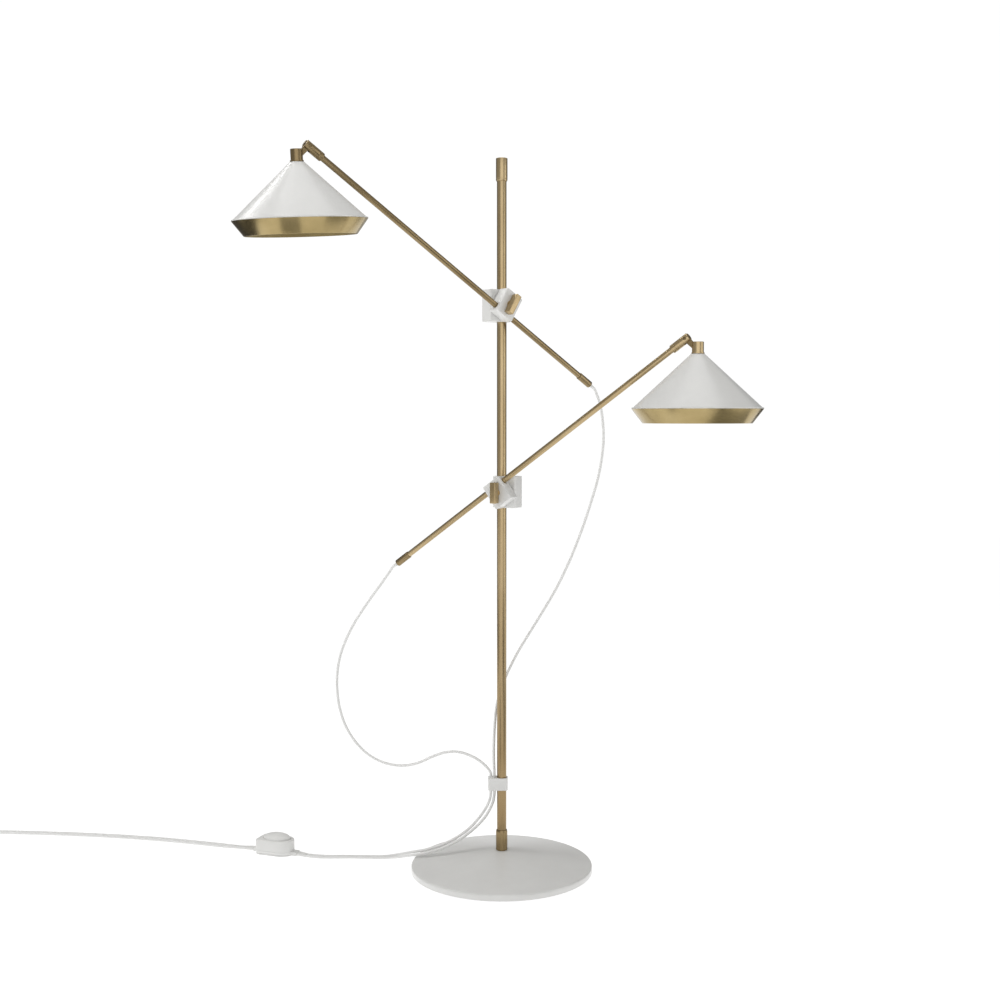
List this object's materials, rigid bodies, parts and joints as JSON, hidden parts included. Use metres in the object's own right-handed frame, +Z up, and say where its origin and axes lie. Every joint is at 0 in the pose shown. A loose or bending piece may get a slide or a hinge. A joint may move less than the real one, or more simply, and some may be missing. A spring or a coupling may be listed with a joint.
{
  "type": "floor lamp",
  "caption": "Floor lamp with sliding, tilting arms clamped to a brass pole, each with a white cone shade, on a low round foot, with a foot switch.",
  "frame": {"origin": "centre of the foot's underside, on the floor", "axes": "+Z up the pole; the camera side, and the shades, are towards -Y; the cords run towards -X"},
  "size_m": [1.837, 0.7728, 1.5],
  "materials": {
    "white_paint": "satin white paint",
    "brass": "brushed antique brass",
    "steel": "turned steel",
    "cast_iron": "rough casting",
    "rubber": "matte",
    "nylon": "matte",
    "fibre": "matte",
    "white_plastic": "satin",
    "black_plastic": "satin",
    "opal_glass": "opal",
    "cord": "braided textile"
  },
  "bodies": {
    "stand": {"foot_cover": "white_paint", "foot_ballast": "cast_iron", "foot_pad": "rubber", "foot_bolt": "steel", "foot_ferrule": "brass", "pole_tube": "brass", "pole_cap": "brass", "cable_clip": "white_plastic", "clip_screw": "steel", "switch_housing": "white_plastic", "switch_plate": "white_plastic", "upper_hang": "cord", "lower_hang": "cord", "upper_lead": "cord", "lower_lead": "cord", "upper_tail": "cord", "lower_tail": "cord", "upper_coil": "cord", "lower_coil": "cord", "upper_plug": "white_plastic", "lower_plug": "white_plastic"},
    "upper_slider": {"upper_pole_bush": "nylon"},
    "upper_clamp": {"upper_pole_block": "white_paint", "upper_friction_washer": "fibre"},
    "upper_holder": {"upper_arm_block": "white_paint", "upper_arm_bush": "nylon"},
    "upper_knob": {"upper_pivot_bolt": "steel", "upper_clamp_knob": "brass"},
    "upper_arm": {"upper_arm_tube": "brass", "upper_tail_ferrule": "brass", "upper_cord_gland": "white_plastic", "upper_swivel_collar": "brass"},
    "upper_fork": {"upper_swivel_fork": "brass", "upper_tilt_screw": "brass"},
    "upper_head": {"upper_tilt_link": "brass", "upper_shade_cap": "brass", "upper_shade": "white_paint", "upper_shade_ring": "brass", "upper_lampholder": "black_plastic", "upper_bulb": "opal_glass"},
    "lower_slider": {"lower_pole_bush": "nylon"},
    "lower_clamp": {"lower_pole_block": "white_paint", "lower_friction_washer": "fibre"},
    "lower_holder": {"lower_arm_block": "white_paint", "lower_arm_bush": "nylon"},
    "lower_knob": {"lower_pivot_bolt": "steel", "lower_clamp_knob": "brass"},
    "lower_arm": {"lower_arm_tube": "brass", "lower_tail_ferrule": "brass", "lower_cord_gland": "white_plastic", "lower_swivel_collar": "brass"},
    "lower_fork": {"lower_swivel_fork": "brass", "lower_tilt_screw": "brass"},
    "lower_head": {"lower_tilt_link": "brass", "lower_shade_cap": "brass", "lower_shade": "white_paint", "lower_shade_ring": "brass", "lower_lampholder": "black_plastic", "lower_bulb": "opal_glass"},
    "pedal": {"switch_pedal": "white_plastic"}
  },
  "joints": [
    {"name": "upper_height", "type": "slide", "parent": "stand", "child": "upper_slider", "axis": [0, 0, 1], "range_m": [-0.2, 0.2], "deforming": ["upper_hang"]},
    {"name": "upper_swing", "type": "hinge", "parent": "upper_slider", "child": "upper_clamp", "pos_m": [0, 0, 1.196], "axis": [0, 0, 1], "range_deg": [-45, 45], "deforming": ["upper_hang"]},
    {"name": "upper_pivot", "type": "hinge", "parent": "upper_clamp", "child": "upper_holder", "pos_m": [0.00836, -0.03344, 1.196], "axis": [-0.6157, 0.788, 0], "range_deg": [-50, 25], "deforming": ["upper_hang"]},
    {"name": "upper_reach", "type": "slide", "parent": "upper_holder", "child": "upper_arm", "axis": [-0.6712, -0.5244, 0.524], "range_m": [-0.2, 0.15], "deforming": ["upper_hang"]},
    {"name": "upper_roll", "type": "hinge", "parent": "upper_arm", "child": "upper_fork", "pos_m": [-0.36026, -0.32144, 1.46618], "axis": [-0.6712, -0.5244, 0.524], "range_deg": [-150, 150]},
    {"name": "upper_tilt", "type": "hinge", "parent": "upper_fork", "child": "upper_head", "pos_m": [-0.35557, -0.31777, 1.46251], "axis": [-0.5814, 0.8109, 0.0668], "range_deg": [-10, 80]},
    {"name": "upper_knob_turn", "type": "hinge", "parent": "upper_holder", "child": "upper_knob", "pos_m": [0.00836, -0.03344, 1.196], "axis": [-0.6157, 0.788, 0], "range_deg": [-90, 90]},
    {"name": "lower_height", "type": "slide", "parent": "stand", "child": "lower_slider", "axis": [0, 0, 1], "range_m": [-0.15, 0.2], "deforming": ["lower_hang"]},
    {"name": "lower_swing", "type": "hinge", "parent": "lower_slider", "child": "lower_clamp", "pos_m": [0, 0, 0.81], "axis": [0, 0, 1], "range_deg": [-45, 45], "deforming": ["lower_hang"]},
    {"name": "lower_pivot", "type": "hinge", "parent": "lower_clamp", "child": "lower_holder", "pos_m": [-0.00363, -0.03428, 0.81], "axis": [-0.5, -0.866, 0], "range_deg": [-50, 20], "deforming": ["lower_hang"]},
    {"name": "lower_reach", "type": "slide", "parent": "lower_holder", "child": "lower_arm", "axis": [0.7094, -0.4096, 0.5736], "range_m": [-0.2, 0.15], "deforming": ["lower_hang"]},
    {"name": "lower_roll", "type": "hinge", "parent": "lower_arm", "child": "lower_fork", "pos_m": [0.3564, -0.24214, 1.1194], "axis": [0.7094, -0.4096, 0.5736], "range_deg": [-150, 150]},
    {"name": "lower_tilt", "type": "hinge", "parent": "lower_fork", "child": "lower_head", "pos_m": [0.35143, -0.23927, 1.11539], "axis": [-0.5, -0.866, 0], "range_deg": [-10, 80]},
    {"name": "lower_knob_turn", "type": "hinge", "parent": "lower_holder", "child": "lower_knob", "pos_m": [-0.00363, -0.03428, 0.81], "axis": [0.5, 0.866, 0], "range_deg": [-90, 90]},
    {"name": "switch_press", "type": "slide", "parent": "stand", "child": "pedal", "axis": [0, 0, -1], "range_m": [0, 0.003], "stiffness_N_per_m": 500, "springref_m": -0.002}
  ]
}
